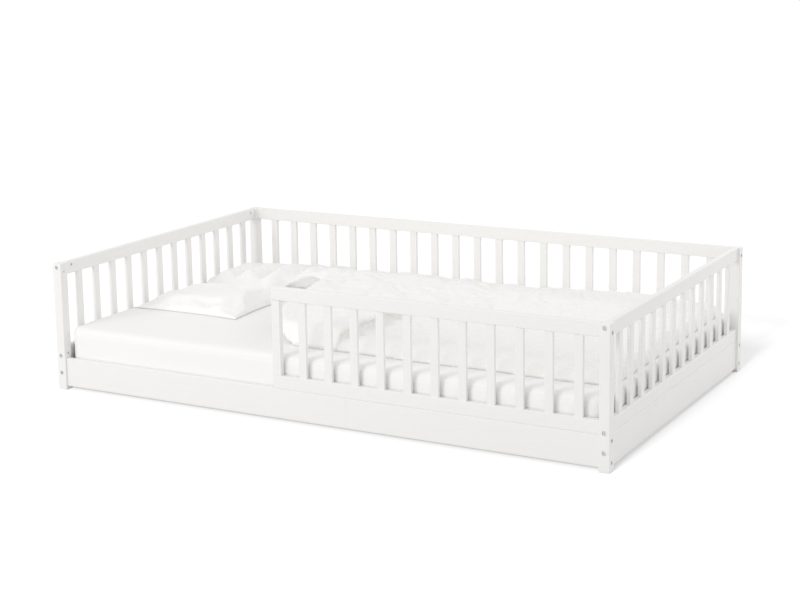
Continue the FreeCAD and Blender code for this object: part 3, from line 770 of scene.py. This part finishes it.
# ------------------------------------------------------------------ duvet
@dataclass
class Duvet:
    """A light duvet pushed to the back, its head end turned back over itself."""

    base: float = 0.2186
    spacing: float = 0.010
    single: float = 0.034
    double: float = 0.074
    pile: float = 0.060
    rim: float = 0.038
    rim_power: float = 0.85
    held_rim: float = 0.4
    seam_top: float = 0.001
    hem_x: float = 0.014
    hem_wave: float = 0.006
    hem_rate: float = 11
    hem_phase: float = 0.6
    hem_bend: float = 0.05
    hem_run: float = 0.034
    hem_spread: float = 0.30
    hem_inset: float = 0.15
    hem_lip: float = 0.024
    hem_gather: float = 0.05
    hem_crowd: float = 0.6
    arch_middle: tuple[float, float] = (-0.538, 0.250)
    arch_half: float = 0.112
    arch_depth: float = 0.036
    arch_lift: float = 0.058
    arch_layer: float = 0.025
    arch_power: float = 1.2
    crease_depth: float = 0.011
    crease_width: float = 0.22
    small_width: float = 0.20
    small_share: float = 0.35
    fold_valley: float = -0.706
    fold_step: float = 0.105
    fold_depth: float = 0.015
    fold_sway: float = 0.8
    fold_rate: float = 6
    heap: float = 0.018
    broad_depth: float = 0.011
    broad_rate: float = 4.2
    swell_depth: float = 0.013
    swell_rate: float = 9.0
    thinnest: float = 0.010
    left_share: float = 0.52
    calm: float = 0.3
    back_slope: float = 0.22
    back_fold: float = 0.6
    back_puff: float = 0.4
    core_sink: float = 0.004
    trim: float = 0.35
    evened: float = 3

    # Where a change starts and ends: along the bed, or across it for HEAPED,
    # HEM_FADES, HEM_BENDS and TOUSLED_FRONT.
    TOUSLED_LEFT = (-0.62, -0.42)
    TOUSLED_RIGHT = (0.75, 0.30)
    TOUSLED_FRONT = (-0.45, -0.05)
    THIN_LEFT = (-0.965, -0.83)
    PILE_STARTS = (-0.40, -0.56)
    HEAPED = (0.05, 0.40)
    HEAP_ENDS = (0.9, 0.2)
    HEM_FADES = (-0.06, 0.12)
    HEM_BENDS = (-0.12, 0.4)

    ARCH_ACROSS = (0.94, 0.35)
    CREASE_RATES = (10, 12)
    SMALL_RATES = (21, 25)
    BACK_LINE = 0.592
    BACK_EDGE = ((-0.95, -0.80, -0.70, -0.50, -0.30, 0.00, 0.30, 0.60, 0.95),
                 (-0.006, 0.003, 0.010, 0.015, 0.022, 0.019, 0.020, 0.033, 0.036))
    OUTLINE = (
        (0.984, -0.462), (0.930, -0.482), (0.760, -0.489), (0.560, -0.479), (0.340, -0.489),
        (0.125, -0.478), (-0.035, -0.484), (-0.140, -0.480), (-0.205, -0.462), (-0.262, -0.408),
        (-0.330, -0.270), (-0.392, -0.110), (-0.420, 0.040), (-0.452, 0.180), (-0.480, 0.262),
        (-0.548, 0.262), (-0.622, 0.238), (-0.668, 0.178), (-0.760, 0.154), (-0.880, 0.152),
        (-0.966, 0.160), (-0.978, 0.240), (-0.978, 0.560), (-0.958, 0.590), (-0.500, 0.592),
        (0.000, 0.592), (0.500, 0.592), (0.955, 0.592), (0.984, 0.560), (0.984, 0.200),
        (0.984, -0.150))

    def outline(self) -> np.ndarray:
        """The plan's edge as a smooth closed line.

        Returns:
            Points of the line, in order.
        """
        points = np.array(self.OUTLINE)
        for _ in range(3):
            after = np.roll(points, -1, axis=0)
            points = np.stack([0.75 * points + 0.25 * after, 0.25 * points + 0.75 * after],
                              axis=1).reshape(-1, 2)
        return points

    @staticmethod
    def nearest(points: np.ndarray, line: np.ndarray) -> tuple[np.ndarray, np.ndarray]:
        """The nearest place on a closed line and the distance inside it.

        Args:
            points: places in plan.
            line: the closed line.

        Returns:
            The nearest places, and the distances, which are negative outside.
        """
        best = np.full(len(points), 1e9)
        place = np.zeros_like(points)
        inside = np.zeros(len(points), bool)
        for a, b in zip(line, np.roll(line, -1, axis=0)):
            run = b - a
            share = np.clip(((points - a) @ run) / max(run @ run, 1e-12), 0, 1)
            spot = a + share[:, None] * run
            gap = np.linalg.norm(points - spot, axis=1)
            closer = gap < best
            best[closer] = gap[closer]
            place[closer] = spot[closer]
            crosses = (a[1] > points[:, 1]) != (b[1] > points[:, 1])
            if run[1]:
                meet = a[0] + (points[:, 1] - a[1]) * run[0] / run[1]
                inside ^= crosses & (points[:, 0] < meet)
        return place, np.where(inside, best, -best)

    def hem_at(self, y: float) -> float:
        """Where the turned-back hem lies.

        Args:
            y: the place across the bed.

        Returns:
            Its place along the bed.
        """
        wave = self.hem_wave * math.sin(self.hem_rate * y + self.hem_phase)
        return self.hem_x + wave + self.hem_bend * eased_step(y, *self.HEM_BENDS)

    def hem_place(self, x: float, y: float) -> tuple[float, float]:
        """Where a point lies on the hem's fall from two layers to one.

        Args:
            x: the place along the bed.
            y: the place across it.

        Returns:
            The share of the fall that is behind it, and how crisp the fall is there:
            1 at the front, where the hem has a lip, and 0 where the heap hides it.
        """
        crisp = 1.0 - eased_step(y, *self.HEM_FADES)
        run = self.hem_run + self.hem_spread * (1.0 - crisp)
        return (x - self.hem_at(y)) / run + 0.5, crisp

    def lift(self, x: float, y: float) -> float:
        """How far the duvet stands off the sheet, in the arch beside the pillow.

        Args:
            x: the place along the bed.
            y: the place across it.

        Returns:
            The height of its underside over the sheet.
        """
        dx, dy = x - self.arch_middle[0], y - self.arch_middle[1]
        a, b = self.ARCH_ACROSS
        along = -b * dx + a * dy
        across = (a * dx + b * dy) / self.arch_half
        if abs(across) >= 1:
            return 0.0
        into = min(1.0, max(0.0, along) / self.arch_depth)
        span = math.cos(across * math.pi / 2) ** self.arch_power
        return self.arch_lift * span * math.sqrt(1 - into * into)

    def loft(self, x: float, y: float) -> float:
        """The duvet's thickness away from its edges, with its large folds.

        Args:
            x: the place along the bed.
            y: the place across it.

        Returns:
            The thickness.
        """
        fallen, crisp = self.hem_place(x, y)
        inset = self.hem_inset * crisp
        turned = 1.0 - eased_step(fallen, inset, 1.0 - inset)
        heaped = eased_step(y, *self.HEAPED)
        low = self.single + self.heap * heaped * eased_step(x, *self.HEAP_ENDS)
        thick = low + (self.double - low) * turned
        behind = eased_step(x, *self.PILE_STARTS)
        thick += (self.pile - thick) * behind
        ridge = -math.cos((x - self.fold_valley) * 2 * math.pi / self.fold_step
                          + self.fold_sway * math.sin(self.fold_rate * y))
        fold = self.fold_depth * behind * ridge
        broad = noise.noise(Vector((x * self.broad_rate, y * self.broad_rate, 7.0)))
        swell = noise.noise(Vector((x * self.swell_rate + 3, y * self.swell_rate, 1.0)))
        puffs = self.tousled(x, y) * (self.swell_depth * swell + self.creases(x, y))
        left = self.left_share + (1 - self.left_share) * eased_step(x, *self.THIN_LEFT)
        behind_crest = self.edge_height(x) + self.back_slope * (self.BACK_LINE - y)
        return max(self.thinnest, min(left * (thick + fold + self.broad_depth * broad) + puffs,
                                      behind_crest + self.back_fold * fold
                                      + self.back_puff * puffs))

    def edge_height(self, x: float) -> float:
        """The duvet's height along the back edge of the mattress.

        Args:
            x: the place along the bed.

        Returns:
            The height over the sheet, which may come out a little below it.
        """
        return float(np.interp(x, *self.BACK_EDGE))

    def tousled(self, x: float, y: float) -> float:
        """How much the cover is crumpled: most in the middle, where it was pushed back.

        Args:
            x: the place along the bed.
            y: the place across it.

        Returns:
            From a small share at the calm ends to 1.
        """
        middle = eased_step(x, *self.TOUSLED_LEFT) * eased_step(x, *self.TOUSLED_RIGHT)
        return self.calm + (1 - self.calm) * middle * eased_step(y, *self.TOUSLED_FRONT)

    def creases(self, x: float, y: float) -> float:
        """The valleys between the puffs of the crumpled cover.

        Args:
            x: the place along the bed.
            y: the place across it.

        Returns:
            A negative height in a valley, and nearly nothing on a puff.
        """
        bend = noise.noise(Vector((x * 5, y * 5, 9.0)))
        along, across = self.CREASE_RATES
        wide = noise.noise(Vector((x * along + 1.5 * bend, y * across + bend, 3.0)))
        along, across = self.SMALL_RATES
        small = noise.noise(Vector((x * along + 5, y * across + 2 * bend, 6.0)))
        return -self.crease_depth * (math.exp(-(wide / self.crease_width) ** 2)
                                     + self.small_share
                                     * math.exp(-(small / self.small_width) ** 2))

    def build(self) -> bpy.types.Object:
        """Make the duvet.

        Returns:
            The piece.
        """
        bm, pins = self.shell()
        cotton = WovenCloth("cotton_percale_duvet", "#FBFAF8", "#F7F6F4", thread_mm=0.7,
                             crease_mm=24.0).build()
        piece = to_object(bm, "duvet_padded", cotton)
        core = self.filling(piece)
        Drape(frames=24, grow=0.055, bending=0.15, cap=0.016).run(piece, pins, core)
        bpy.data.objects.remove(core)
        smooth = piece.modifiers.new("smooth", "SUBSURF")
        smooth.levels = smooth.render_levels = 1
        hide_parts("duvet")
        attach(piece, "duvet")
        return piece

    def shell(self) -> tuple[bmesh.types.BMesh, list[int]]:
        """The smooth form before it crumples.

        Returns:
            The mesh, and the points that stay put while it does.
        """
        line = self.outline()
        low, high = line.min(axis=0), line.max(axis=0)
        bm = bmesh.new()
        counts = [round((high[i] - low[i]) / self.spacing) for i in (0, 1)]
        bmesh.ops.create_grid(bm, x_segments=counts[0], y_segments=counts[1], size=0.5)
        bmesh.ops.scale(bm, vec=(*(high - low), 1.0), verts=bm.verts)
        bmesh.ops.translate(bm, vec=(*((high + low) / 2), 0.0), verts=bm.verts)
        for vert in bm.verts:
            ahead = vert.co.x - self.hem_at(vert.co.y)
            vert.co.x -= self.hem_crowd * ahead * math.exp(-(ahead / self.hem_gather) ** 2)
        verts = list(bm.verts)
        _, depth = self.nearest(np.array([v.co.xy for v in verts]), line)
        outside = [v for v, d in zip(verts, depth) if d < -self.trim * self.spacing]
        bmesh.ops.delete(bm, geom=outside, context="VERTS")
        loose = [v for v in bm.verts if not v.link_faces]
        bmesh.ops.delete(bm, geom=loose, context="VERTS")
        verts = list(bm.verts)
        spots, depth = self.nearest(np.array([v.co.xy for v in verts]), line)
        for vert, spot in zip(verts, spots):
            if vert.is_boundary:
                vert.co.xy = spot
        for _ in range(4):
            near = [v for v, d in zip(verts, depth)
                    if not v.is_boundary and d < self.evened * self.spacing]
            bmesh.ops.smooth_vert(bm, verts=near, factor=0.5, use_axis_x=True, use_axis_y=True)
        lid = bmesh.ops.duplicate(bm, geom=verts + list(bm.edges) + list(bm.faces))["geom"]
        upper = [item for item in lid if isinstance(item, bmesh.types.BMVert)]
        for vert in verts:
            vert.co.z = self.base + self.lift(vert.co.x, vert.co.y)
        _, depth = self.nearest(np.array([v.co.xy for v in upper]), line)
        for vert, gap in zip(upper, depth):
            x, y = vert.co.x, vert.co.y
            share = min(1.0, max(gap, 0.0) / self.rim)
            round_off = math.sin(share * math.pi / 2) ** self.rim_power
            lift = self.lift(x, y)
            under = self.base + lift
            arch = lift / self.arch_lift
            thick = self.loft(x, y) * (1 - arch) + self.arch_layer * arch
            vert.co.z = under + thick * round_off
            fallen, crisp = self.hem_place(x, y)
            if 0 < fallen < 1 and gap > 0:
                vert.co.x += self.hem_lip * crisp * share * math.sin(2 * math.pi * fallen)
        bmesh.ops.remove_doubles(bm, verts=bm.verts, dist=1e-4)
        bm.verts.index_update()
        bmesh.ops.recalc_face_normals(bm, faces=bm.faces)
        sharpen_seam(bm, self.base + self.seam_top)
        top = {v for v, gap in zip(upper, depth) if v.is_valid and gap > self.held_rim * self.rim}
        pins = [v.index for v in bm.verts if v not in top
                or (abs(v.co.x - self.hem_at(v.co.y)) < self.hem_run
                    and v.co.y < self.HEAPED[0])]
        return bm, pins

    def filling(self, piece: bpy.types.Object) -> bpy.types.Object:
        """The filling that the cover can't sink into.

        Args:
            piece: the duvet before it crumples.

        Returns:
            A helper object just under its upper face.
        """
        bm = bmesh.new()
        bm.from_mesh(piece.data)
        bmesh.ops.delete(bm, geom=[f for f in bm.faces if f.normal.z < 0.05], context="FACES")
        bmesh.ops.translate(bm, vec=(0, 0, -self.core_sink), verts=bm.verts)
        mesh = bpy.data.meshes.new("filling")
        bm.to_mesh(mesh)
        bm.free()
        core = bpy.data.objects.new("filling", mesh)
        bpy.context.scene.collection.objects.link(core)
        return core


# ------------------------------------------------------------------ studio
@dataclass(frozen=True)
class Softbox:
    """A square lamp behind cloth, with its place and aim in metres."""

    name: str
    place: tuple[float, float, float]
    aim: tuple[float, float, float]
    side: float
    watts: float

    def build(self) -> None:
        """Hang the lamp."""
        lamp = bpy.data.lights.new(self.name, "AREA")
        lamp.size = self.side
        lamp.energy = self.watts
        hung = bpy.data.objects.new(self.name, lamp)
        turn = (Vector(self.place) - Vector(self.aim)).to_track_quat("Z", "Y")
        hung.matrix_world = Matrix.Translation(self.place) @ turn.to_matrix().to_4x4()
        bpy.context.scene.collection.objects.link(hung)


@dataclass
class Studio:
    """The pale floor, the soft light and the camera."""

    focal_px: float = 1658.48
    centre_px: tuple[float, float] = (381.09, 220.0)
    place_mm: tuple[float, float, float] = (2736.14, -4986.04, 1600.69)
    yaw: float = 0.5133428
    pitch: float = 0.1784516
    roll: float = -0.0174145
    sensor_mm: float = 36.0
    world_level: float = 0.80
    lamps: tuple[Softbox, ...] = (
        Softbox("key_softbox", (-2.5, -6.0, 3.0), (-0.2, 0.0, 0.2), 2.5, 124.0),
        Softbox("fill_softbox", (3.0, 2.4, 1.8), (0.2, 0.0, 0.2), 1.6, 13.0),
        Softbox("bounce_card", (1.2, 1.8, 1.6), (-0.9, 0.0, 0.3), 0.8, 4.0))
    floor_glow: float = 0.50
    floor_lamp_from: tuple[float, float, float] = (0.0, -1.0, 0.47)
    floor_lamp_level: float = 5.6
    floor_lamp_angle: float = 12.0

    def build(self) -> None:
        """Make the camera, the light, the backdrop and the floor."""
        self.camera()
        for lamp in self.lamps:
            lamp.build()
        self.light()
        self.floor()
        bpy.context.scene.view_settings.view_transform = "Standard"

    def camera(self) -> None:
        """Place the camera where the photograph was taken from."""
        ahead = Vector((-math.sin(self.yaw) * math.cos(self.pitch),
                        math.cos(self.yaw) * math.cos(self.pitch), -math.sin(self.pitch)))
        right = Vector((math.cos(self.yaw), math.sin(self.yaw), 0.0))
        up = right.cross(ahead)
        across = right * math.cos(self.roll) + up * math.sin(self.roll)
        above = up * math.cos(self.roll) - right * math.sin(self.roll)
        turn = Matrix((across, above, -ahead)).transposed().to_4x4()
        data = bpy.data.cameras.new("photo_camera")
        data.sensor_width = self.sensor_mm
        data.lens = self.focal_px * self.sensor_mm / PHOTO_SIZE[0]
        data.shift_x = (PHOTO_SIZE[0] / 2 - self.centre_px[0]) / PHOTO_SIZE[0]
        data.shift_y = (self.centre_px[1] - PHOTO_SIZE[1] / 2) / PHOTO_SIZE[0]
        data.clip_end = 200.0
        camera = bpy.data.objects.new("photo_camera", data)
        camera.matrix_world = Matrix.Translation(Vector(self.place_mm) * MM) @ turn
        bpy.context.scene.collection.objects.link(camera)
        bpy.context.scene.camera = camera

    def light(self) -> None:
        """An even surround that is plain white to the camera."""
        world = bpy.data.worlds.new("white_surround")
        bpy.context.scene.world = world
        world.use_nodes = True
        tree = world.node_tree
        tree.nodes.clear()
        seen = add_seen_share(tree)
        around = add_node(tree, "ShaderNodeBackground", {
            "Color": srgb("#FFFFFF"), "Strength": self.world_level})
        white = add_node(tree, "ShaderNodeBackground", {
            "Color": srgb("#FFFFFF"), "Strength": 1.0})
        mixed = add_node(tree, "ShaderNodeMixShader", {
            0: seen, 1: around.outputs[0], 2: white.outputs[0]})
        add_node(tree, "ShaderNodeOutputWorld", {"Surface": mixed.outputs[0]})

    def floor(self) -> None:
        """A wide pale floor that keeps the bed's shadow."""
        bm = bmesh.new()
        bmesh.ops.create_grid(bm, x_segments=1, y_segments=1, size=80.0)
        material, tree = new_material("matt_white_floor")
        seen = add_seen_share(tree)
        matt = add_node(tree, "ShaderNodeBsdfDiffuse", {"Color": srgb("#ACACAC")})
        thin = add_node(tree, "ShaderNodeBsdfDiffuse", {"Color": srgb("#9B9B9B")})
        glow = add_node(tree, "ShaderNodeEmission", {
            "Color": srgb("#FFFFFF"), "Strength": self.floor_glow})
        lit = add_node(tree, "ShaderNodeAddShader", {0: thin.outputs[0], 1: glow.outputs[0]})
        mixed = add_node(tree, "ShaderNodeMixShader", {
            0: seen, 1: matt.outputs[0], 2: lit.outputs[0]})
        add_node(tree, "ShaderNodeOutputMaterial", {"Surface": mixed.outputs[0]})
        floor = to_object(bm, "floor", material, smooth=False)
        floor.location.z = -0.0005
        self.floor_lamp(floor)

    def floor_lamp(self, floor: bpy.types.Object) -> None:
        """A lamp from the front that lights the floor alone, past the bed.

        Args:
            floor: the floor.
        """
        lamp = bpy.data.lights.new("floor_lamp", "SUN")
        lamp.energy = self.floor_lamp_level
        lamp.angle = math.radians(self.floor_lamp_angle)
        hung = bpy.data.objects.new("floor_lamp", lamp)
        turn = Vector(self.floor_lamp_from).to_track_quat("Z", "Y")
        hung.matrix_world = turn.to_matrix().to_4x4()
        bpy.context.scene.collection.objects.link(hung)
        lit = bpy.data.collections.new("lit_floor")
        lit.objects.link(floor)
        hung.light_linking.receiver_collection = lit


def main() -> None:
    """Build the bed's looks in order."""
    logging.basicConfig(level=logging.INFO, format="%(message)s")
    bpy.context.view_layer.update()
    Studio().build()
    Woodwork().build()
    mattress = Mattress()
    for build in (mattress.build_core, mattress.build_sheet, Pillow().build, Duvet().build):
        LOG.info("made %s", build().name)


if __name__ == "__main__":
    main()
